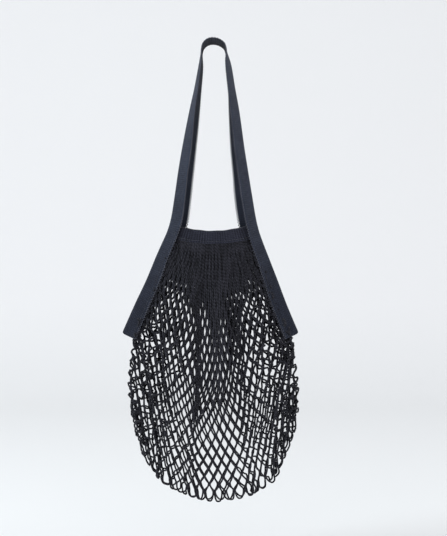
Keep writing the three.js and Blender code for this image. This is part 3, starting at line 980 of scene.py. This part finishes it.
def mouth_band(face):
    """A knitted tape folded over the net's top edge, and its seam."""
    middle = BAND_SLOT / 2 + BAND_WALL / 2
    leg = BAND_HEIGHT - middle
    turn = np.pi * middle
    width = 2 * leg + turn
    count = int(width / WALE_PITCH) * BAND_KNIT["points"]
    across = np.linspace(-width / 2, width / 2, count + 1)
    arc = np.clip(across / (turn / 2), -1, 1) * np.pi / 2
    down = np.maximum(np.abs(across) - turn / 2, 0)
    half = knit_half(across, width / 2 - np.abs(across), BAND_KNIT)
    x = np.linspace(-BAND_HALF_LENGTH, BAND_HALF_LENGTH, BAND_STEPS + 1)
    wide = np.broadcast_to(x[:, None], (len(x), len(across)))
    course = BAND_KNIT["course"] * ((np.arange(len(x)) % 2) - 0.5)[:, None]
    walls = []
    for sign in (1, -1):
        radius = middle + sign * half
        out = radius * np.sin(arc)
        below = middle - radius * np.cos(arc) + down
        walls.append(band_places(face, wide, out + sign * course * np.sign(out), below + 0 * wide))
    points = np.concatenate([walls[0], walls[1][:, ::-1]], axis=1)
    both = np.concatenate([across, across[::-1]])
    # Painted highlight along the band's free edges.
    painted_light = ramp(np.abs(both), width / 2 - BAND_KNIT["painted_light"], width / 2)
    along = x + BAND_MIDDLE_ALONG
    band = tape_piece(f"mouth_band_{face}_tape", points, both, along, painted_light, BAND_TAPE)
    seam = []
    reach = BAND_HALF_LENGTH - BAND_SEAM["from_end"]
    spots = np.linspace(-reach, reach, BAND_SEAM["points"])
    low = np.full_like(spots, BAND_HEIGHT - BAND_SEAM["inset"])
    for sign in (-1, 1):
        base, above = (
            band_places(face, spots, np.full_like(spots, sign * (middle + lift)), low)
            for lift in (BAND_SEAM["lift"], 2 * BAND_SEAM["lift"]))
        seam.append((base, unit(above - base)))
    return band, stitches(seam, f"mouth_band_{face}_stitching")


# The net.

def drift(s, t, waves, turned):
    """A slow uneven drift over a net face, between -1 and 1."""
    total = 0
    for across, down, start in zip(*waves.values()):
        total = total + np.sin(across * s + down * t + (start + turned))
    return total / len(waves["start"])


def net_depth(face, x, z):
    """How deep the net's form is at places seen from the front."""
    s = np.clip(x / SEARCH_HALF_WIDTH, -1 + SEARCH_INSET, 1 - SEARCH_INSET)
    t = (-z - BAND_TOP_DROP - NET_TOP_DEPTH) / SEARCH_HEIGHT
    t = np.clip(t, SEARCH_INSET, 1 - SEARCH_INSET)
    ds = np.where(s > 0, -SEARCH_STEP, SEARCH_STEP)
    dt = np.where(t > 0.5, -SEARCH_STEP, SEARCH_STEP)
    for _ in range(SEARCH_ROUNDS):
        here = net_surface(face, s, t)
        by_s = (net_surface(face, s + ds, t) - here) / ds[..., None]
        by_t = (net_surface(face, s, t + dt) - here) / dt[..., None]
        off_x, off_z = x - here[..., 0], z - here[..., 2]
        area = by_s[..., 0] * by_t[..., 2] - by_s[..., 2] * by_t[..., 0]
        area = np.where(np.abs(area) < LEAST_AREA, LEAST_AREA * np.sign(area - TINY), area)
        s = np.clip(s + (off_x * by_t[..., 2] - off_z * by_t[..., 0]) / area, -1, 1)
        t = np.clip(t + (off_z * by_s[..., 0] - off_x * by_s[..., 2]) / area, 0, 1)
    return net_surface(face, s, t)[..., 1]


def hung_rim(face):
    """The net's rim, from the left strap end round the bottom to the right one, as it hangs."""
    below = np.linspace(SLIT_SHARE, 1, RIM_SIDE_POINTS)
    left = net_edge("left", face, below)
    right = net_edge("right", face, below)
    rim = np.vstack([left, net_bottom(np.linspace(-1, 1, RIM_BOTTOM_POINTS)), right[::-1]])
    heart = np.array([0, 0, -BAND_TOP_DROP - HEART_DROP])
    away = np.linalg.norm(rim - heart, axis=1, keepdims=True)
    x, drop = rim[:, :1], -rim[:, 2:]
    near = np.exp(-((x - FULL_CORNER["x"]) / FULL_CORNER["width"]) ** 2)
    out = RIM_OUT + FULL_CORNER["out"] * near * ramp(drop, FULL_CORNER["from"], FULL_CORNER["to"])
    for side, drawn_in, middle, width in zip(*SLACK_SIDES.values()):
        near = np.exp(-((drop - middle) / width) ** 2)
        out = out - drawn_in * near * (np.sign(x) == side)
    return heart + (rim - heart) * (1 + out / away)


def hung_sheet(face):
    """The rows and half columns of a face as it hangs spread out, seen from the front."""
    rim = hung_rim(face)
    run = lengths(rim) / lengths(rim)[-1]
    half = len(rim) // 2
    corner_left = np.interp(CORNER_DROP["left"], -rim[:half, 2], run[:half])
    corner_right = np.interp(-CORNER_DROP["right"], rim[half:, 2], run[half:])
    row = np.arange(HALF_ROWS + 1)
    hem = np.clip((row - SLIT_ROWS) / (HALF_ROWS - SLIT_ROWS), 0, 1)
    sewn = SLIT_SHARE * np.minimum(row / SLIT_ROWS, 1)
    in_slit = (row <= SLIT_ROWS)[:, None]
    left = np.where(in_slit, net_edge("left", face, sewn), pick(rim, corner_left * hem))
    right = np.where(in_slit, net_edge("right", face, sewn), pick(rim, 1 - (1 - corner_right) * hem))
    share = np.linspace(0, 1, HALF_COLUMNS + 1)
    top = net_top(face, 2 * share - 1)[None]
    bottom = pick(rim, mix(corner_left, corner_right, share))[None]
    left, right = left[:, None], right[:, None]
    u = share[None, :, None]
    t = (row / HALF_ROWS)[:, None, None]
    corners = mix(mix(left[0], right[0], u), mix(left[-1], right[-1], u), t)
    sheet = mix(top, bottom, t) + mix(left, right, u) - corners
    for _ in range(SPREADING_STEPS):
        beside = sheet[1:-1, :-2] + sheet[1:-1, 2:]
        over = sheet[:-2, 1:-1] + sheet[2:, 1:-1]
        sheet[1:-1, 1:-1] = (beside + over) / 4
    return sheet


def drifted_places(face, s, row, rng):
    """The joints of a face on its hung sheet, once their rows and columns have drifted."""
    rear = float(face == "rear")
    turned = REAR_TURN * rear
    t = row / HALF_ROWS
    aside = np.abs(s)
    wave = OPEN_WAVE["height"] * np.sin(OPEN_WAVE["turn"] * s)
    opened = ramp(t + wave, *OPEN_FROM) * fall(t, *OPEN_TO)
    opened = opened * fall(aside, *OPEN_ASIDE)
    inner = np.sqrt(np.sin(np.pi * np.clip(t, 0, 1))) * (1 - s ** EARLY) * (1 - opened)
    beside = ramp(t, *REAR_FROM) * (1 - s ** LATE) * (1 - opened) * fall(t, *REAR_TO)
    lag = drift(s, t, LAG_WAVES, turned)
    lean = drift(s, t, LEAN_WAVES, turned)
    uneven = rng.normal(0, HITCH_ROWS, HALF_COLUMNS + 1)
    column = (s + 1) * MESHES_ACROSS
    hitch = np.interp(column, np.arange(HALF_COLUMNS + 1), uneven)
    hitch = hitch * ramp(t, *HITCH_FROM) * fall(t, *HITCH_TO)
    heap = np.sin(np.pi * np.clip((t - HEAP_START) / HEAP_RUN, 0, 1))
    heap = HEAPED_ROWS * ramp(aside, *HEAP_ASIDE) * heap
    down = row + inner * LAG_ROWS * lag + (hitch - heap) * (aside < AT_SIDE) + REAR_LOWER * rear * opened
    down = np.clip(down, 0, HALF_ROWS)
    side = column + LEAN_COLUMNS * inner * lean + 2 * beside * (REAR_ASIDE * rear)
    side = np.clip(side, 0, HALF_COLUMNS)
    i = np.minimum(down.astype(int), HALF_ROWS - 1)
    c = np.minimum(side.astype(int), HALF_COLUMNS - 1)
    share = (side - c)[..., None]
    sheet = hung_sheet(face)
    over = mix(sheet[i, c], sheet[i, c + 1], share)
    under = mix(sheet[i + 1, c], sheet[i + 1, c + 1], share)
    return mix(over, under, (down - i)[..., None])


def hung_places(face, s, row, rng):
    """Where the joints of a face hang: drifted, then drawn into bunches and crumpled."""
    place = drifted_places(face, s, row, rng)
    turned = REAR_TURN * (face == "rear")
    t = row / HALF_ROWS
    aside = np.abs(s)
    x = place[..., 0]
    z = place[..., 2]
    for top, mid, low, width, draw, start, end in zip(*NET_BUNCHES[face].values()):
        bend = 2 * mid - (top + low) / 2
        off = x - mix(mix(top, bend, t), mix(bend, low, t), t)
        shown = ramp(t, start, start + BUNCH_RISE) * fall(t, end - BUNCH_FALL, end) * (1 - s ** LATEST)
        x = x - draw * shown * off * np.exp(-(off / width) ** 2)
    loose = ramp(aside, *CRUMPLE_ASIDE) * ramp(t, *CRUMPLE_FROM) * fall(t, *CRUMPLE_TO)
    loose = loose * fall(aside, *CRUMPLE_CLEAR)
    sway = drift(x, z, CRUMPLE_WAVES, turned)
    slump = drift(z, x, CRUMPLE_WAVES, turned)
    place[..., 0] = x + CRUMPLE * loose * sway
    place[..., 2] = z + CRUMPLE * loose * slump
    depth = net_depth(face, place[..., 0], place[..., 2])
    meet = -CORD / 2 if face == "front" else CORD / 2
    depth = mix(depth, meet, ramp(t, *MEET_FROM))
    place[..., 1] = np.where(aside > AT_SIDE, place[..., 1], depth)
    return place


def join_cords(at, apart):
    """Brings the cords that meet at each joint together; apart marks the slit's open edges."""
    odd = (at[0::2, 1::2] + at[1::2, 1::2]) / 2
    at[0::2, 1::2] = odd
    at[1::2, 1::2] = odd
    right = at[1::2, 0::2]
    left = np.roll(at[0::2, 0::2], -1, axis=0)
    even = (right + left) / 2
    split = apart[1::2, ::2, None]
    at[1::2, 0::2] = np.where(split, right, even)
    at[0::2, 0::2] = np.roll(np.where(split, left, even), 1, axis=0)


def hold_length(at, free, gap, shortest, longest, give):
    """Keeps points that are gap steps apart along a cord between two distances."""
    for first in range(2 * gap):
        a = at[:, first:-gap:2 * gap]
        b = at[:, first + gap::2 * gap]
        fa = free[:, first:-gap:2 * gap]
        fb = free[:, first + gap::2 * gap]
        line = b - a
        size = np.linalg.norm(line, axis=-1, keepdims=True)
        over = np.maximum(size - longest, 0) - np.maximum(shortest - size, 0)
        move = give * line / np.maximum(size, TINY) * over / np.maximum(fa + fb, TINY)
        a += move * fa
        b -= move * fb


def net_joints():
    """The net's cords, two steps from joint to joint, once the net has settled under its weight."""
    cords = 4 * MESHES_ACROSS
    k = np.arange(cords)[:, None]
    j = np.arange(HALF_ROWS + 1)[None, :]
    swing = 0.5 * (j % 2)
    column = np.where(k % 2 == 0, k / 2 + swing, (k + 1) / 2 - swing)
    front = np.broadcast_to(k < cords // 2, column.shape)
    s = np.where(front, -1 + 2 * column / MESHES_ACROSS, 3 - 2 * column / MESHES_ACROSS)
    s = np.clip(s, -1, 1)
    aside = np.abs(s)
    row = np.broadcast_to(j, s.shape).astype(float)
    rng = np.random.default_rng(NET_SEED)
    aim = np.where(front[..., None], hung_places("front", s, row, rng), hung_places("rear", s, row, rng))
    loose = ramp(aside, *LOOSE_ASIDE) * ramp(row, *LOOSE_FROM) * fall(row, *LOOSE_TO)
    loose = loose * fall(aside, *LOOSE_CLEAR)
    aim = aim + loose[..., None] * rng.normal(0, JOINT_UNEVEN, aim.shape)

    rim = ramp(row, *RIM_FROM) * (1 - s ** EARLY)
    tug = rng.normal(0, 1, (len(aim) // 2, 3))
    aim = aim + rim[..., None] * RIM_UNEVEN * np.repeat(tug, 2, axis=0)[:, None] * RIM_TUG

    side = (aside > AT_SIDE) & (j % 2 == 0)
    slit = side & (j <= SLIT_ROWS)
    beside = (aside > 1 - SIDE_MESHES / MESHES_ACROSS) & ~side & (j > SLIT_ROWS) & (j < HALF_ROWS - 1)
    outward = np.where(front, -1.0, 1.0)
    rounded = SIDE_ROUND * fall(row, *SIDE_ROUND_TO)
    aim[..., 0] += np.where(beside, np.sign(s) * rounded / SIDE_WIDER, 0)
    aim[..., 1] = np.where(beside, outward * np.maximum(rounded, SIDE_LEAST), aim[..., 1])
    pinned = slit | (j == 0)
    free = np.ones((cords, 2 * HALF_ROWS + 1, 1))
    free[:, ::2, 0] = np.where(pinned, 0.0, 1.0)
    pull = np.where(beside, PULL["side"], PULL["inside"])
    pull = np.where(side | (j == HALF_ROWS), PULL["rim"], pull)
    pull = pull[..., None] * np.array(PULL_WAYS)

    at = np.empty((cords, 2 * HALF_ROWS + 1, 3))
    at[:, ::2] = aim
    at[:, 1::2] = (aim[:, 1:] + aim[:, :-1]) / 2
    at[:, 1::2] += rng.normal(0, BAR_UNEVEN, (cords, HALF_ROWS, 3))
    at[:, 1::2, 1] += outward[:, :1] * BAR_BOW
    depth = at[:, 1::2, 1].copy()
    for _ in range(SETTLING_STEPS):
        joints = at[:, ::2]
        joints[..., 2] -= SINK * free[:, ::2, 0]
        joints += free[:, ::2] * pull * (aim - joints)
        at[:, 1::2, 1] += BAR_PULL * (depth - at[:, 1::2, 1])
        hold_length(at, free, 2, **JOINT_GAP)
        hold_length(at, free, 1, BAR / 2, BAR / 2, 1.0)
        join_cords(joints, slit)
        reach = np.maximum(np.abs(joints[:, :-1, 0]), np.abs(joints[:, 1:, 0])) + SIDE_BAR_OUT
        reach = np.where(reach > SIDE_REACH, reach, ANYWHERE)
        at[:, 1::2, 0] = np.clip(at[:, 1::2, 0], -reach, reach)
    return at, rng


def net_cords():
    """Every cord of the net as a smooth line that touches its neighbours at the joints."""
    path, rng = net_joints()
    at = path[:, ::2]
    cords, rows = at.shape[:2]
    k = np.arange(cords)[:, None]
    j = np.arange(rows)[None, :]
    per_face = cords // 2
    split = j <= SLIT_ROWS
    ahead = np.where((split & (k % per_face >= per_face - 2))[..., None], at, np.roll(at, -2, axis=0))
    behind = np.where((split & (k % per_face < 2))[..., None], at, np.roll(at, 2, axis=0))
    pitch = np.linalg.norm(ahead - behind, axis=-1) / 2
    aside = unit(ahead - behind) * np.where((k + j) % 2 == 0, 1, -1)[..., None]
    squeezed = fall(pitch, *SQUEEZED_PITCH)
    outward = np.where(k < per_face, -1.0, 1.0)
    touch = at + aside * (TOUCH * CORD)
    stack = np.where(k % 2 == 0, STACK, -STACK) * CORD + rng.normal(0, STACK_UNEVEN, (cords, 1))
    touch[..., 1] += outward * (ramp(j, *STACK_FROM) * squeezed * stack)

    before = 2 * path[:, :1] - path[:, 1:2]
    after = 2 * path[:, -1:] - path[:, -2:-1]
    padded = np.concatenate([before, path, after], axis=1)
    down = unit(padded[:, 2::2] - padded[:, :-2:2])
    high = touch - down * (JOINT / 2)
    low = touch + down * (JOINT / 2)
    high[:, -1] = at[:, -1] + aside[:, -1] * END_LOOP["aside"] + [0, 0, END_LOOP["up"]]
    low[:, -1] = at[:, -1]
    middle = path[:, 1::2].copy()
    middle[:, -1] += aside[:, -1] * END_LOOP["bar_aside"]
    knots = np.empty((cords, 3 * HALF_ROWS + 2, 3))
    knots[:, 0] = high[:, 0]
    knots[:, 1::3] = low
    knots[:, 2::3] = middle
    knots[:, 3::3] = high[:, 1:]
    return smooth_line(knots, CORD_STEPS)


def net_piece(name, lines):
    """The cords of one face of the net."""
    down = np.linspace(0, 1, lines.shape[1])
    thick = mix(CORD_SLACK, CORD_DRAWN, ramp(down, *DRAWN_FROM))
    thick = thick * mix(CORD_SEWN, 1.0, ramp(down, *SEWN_TO))
    lead = np.random.default_rng(TWIST_SEED).uniform(0, TWIST_LEAD, len(lines))
    return cord_piece(name, lines, CORD / 2 * thick, CORD_SIDES, NET_CORD, lead=lead)


# The studio, in metres: a sweep of pale paper with its floor, bend and wall, and the camera, which
# shows the bag at the photograph's scale.
FLOOR = -0.78
# The floor paper is darker than the wall paper: painted shade that evens out the lamps' stronger light on
# the floor.
FLOOR_PAPER = (0.835, 0.83, 0.825, 1)
WALL_PAPER = (0.875, 0.862, 0.86, 1)
PAPER_FADE = 0.3
SWEEP_HALF_WIDTH = 12.0
SWEEP_NEAR = -30.0
SWEEP_TOP = 3.6
BEND_START = 1.9
BEND_RADIUS = 1.2
BEND_STEPS = 12
BAG_MIDDLE = (0, 0, -0.35)
PHOTO_PIXELS_HIGH = 536
PHOTO_PIXEL = 1.49 * MM
SENSOR = 24.0
CAMERA_PLACE = (0.0164, -1.7, -0.3377)


def studio():
    """The paper sweep, the soft room, its lamps and the camera."""
    finish = Finish("pale_paper", Roughness=0.9, Specular_IOR_Level=0.1)
    where = finish.add("ShaderNodeTexCoord", {}, {}).outputs["Object"]
    height = Tone(finish, finish.add("ShaderNodeSeparateXYZ", {}, {"Vector": where}).outputs["Z"])
    # Painted shade on the floor, fading to the wall paper's colour above it.
    upright = ((height - FLOOR) / PAPER_FADE).held()
    paper = finish.blend(FLOOR_PAPER, WALL_PAPER, upright)
    finish.tree.links.new(paper, finish.shader.inputs["Base Color"])
    profile = [(SWEEP_NEAR, FLOOR)]
    for turn in np.linspace(0, np.pi / 2, BEND_STEPS + 1):
        rise = BEND_RADIUS * (1 - math.cos(turn))
        profile.append((BEND_START + BEND_RADIUS * math.sin(turn), FLOOR + rise))
    profile.append((BEND_START + BEND_RADIUS, SWEEP_TOP))
    corners = [(x, y, z) for y, z in profile for x in (-SWEEP_HALF_WIDTH, SWEEP_HALF_WIDTH)]
    faces = [(2 * k, 2 * k + 1, 2 * k + 3, 2 * k + 2) for k in range(len(profile) - 1)]
    mesh = bpy.data.meshes.new("paper_sweep")
    mesh.from_pydata(corners, [], faces)
    mesh.polygons.foreach_set("use_smooth", [True] * len(faces))
    mesh.materials.append(finish.material)
    sweep = bpy.data.objects.new("paper_sweep", mesh)
    bpy.context.scene.collection.objects.link(sweep)

    world = bpy.data.worlds.new("soft_room")
    world.use_nodes = True
    room = world.node_tree.nodes["Background"]
    room.inputs["Color"].default_value = (0.93, 0.96, 1.0, 1)
    room.inputs["Strength"].default_value = 0.82
    bpy.context.scene.world = world

    def lamp(name, place, aim, size, power, colour=(1.0, 1.0, 1.0)):
        """A round soft lamp at a place, turned to its aim."""
        data = bpy.data.lights.new(name, "AREA")
        data.shape = "DISK"
        data.size = size
        data.energy = power
        data.color = colour
        stand = bpy.data.objects.new(name, data)
        stand.location = place
        way = np.array(aim) - np.array(place)
        flat = math.hypot(way[0], way[1])
        stand.rotation_euler = (math.atan2(flat, -way[2]), 0, math.atan2(way[1], way[0]) - math.pi / 2)
        bpy.context.scene.collection.objects.link(stand)

    cool = (0.86, 0.96, 1.0)
    lamp("window_light", place=(-2.3, -1.0, 1.1), aim=BAG_MIDDLE, size=1.4, power=50, colour=cool)
    lamp("room_fill", place=(2.3, -0.8, 0.6), aim=BAG_MIDDLE, size=1.6, power=17)
    lamp("paper_light_left", place=(-1.8, 1.4, 0.9), aim=(-0.4, 3.1, 0.0), size=1.2, power=1)
    lamp("paper_light_right", place=(1.8, 1.4, 0.9), aim=(0.4, 3.1, 0.0), size=1.2, power=1)

    camera = bpy.data.cameras.new("camera")
    camera.sensor_fit = "AUTO"
    camera.sensor_width = SENSOR
    half_height = PHOTO_PIXELS_HIGH / 2 * PHOTO_PIXEL
    camera.lens = SENSOR / 2 / (half_height / -CAMERA_PLACE[1])
    camera.clip_start = 0.05
    holder = bpy.data.objects.new("camera", camera)
    holder.location = CAMERA_PLACE
    holder.rotation_euler = (math.pi / 2, 0, 0)
    bpy.context.scene.collection.objects.link(holder)
    bpy.context.scene.camera = holder
    bpy.context.scene.view_settings.view_transform = "Standard"


studio()

strap = strap_tape()
selvedge = strap_selvedge()
strap_seams = strap_stitching()
bands = {face: mouth_band(face) for face in BANDS}
lines = net_cords()
half = len(lines) // 2
net_front = net_piece("net_front", lines[:half])
net_rear = net_piece("net_rear", lines[half:])


def place_piece(piece, node):
    """Says which body a piece rides on, and hides the model's node that it stands for."""
    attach(piece, "root")
    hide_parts(node)


for piece in (strap, selvedge, strap_seams):
    place_piece(piece, "shoulder_strap")
for face, pair in bands.items():
    for piece in pair:
        place_piece(piece, f"mouth_band_{face}")
for piece in (net_front, net_rear):
    place_piece(piece, "net_body")

strap_length = len(strap_line()) * TAPE_STEP * MM
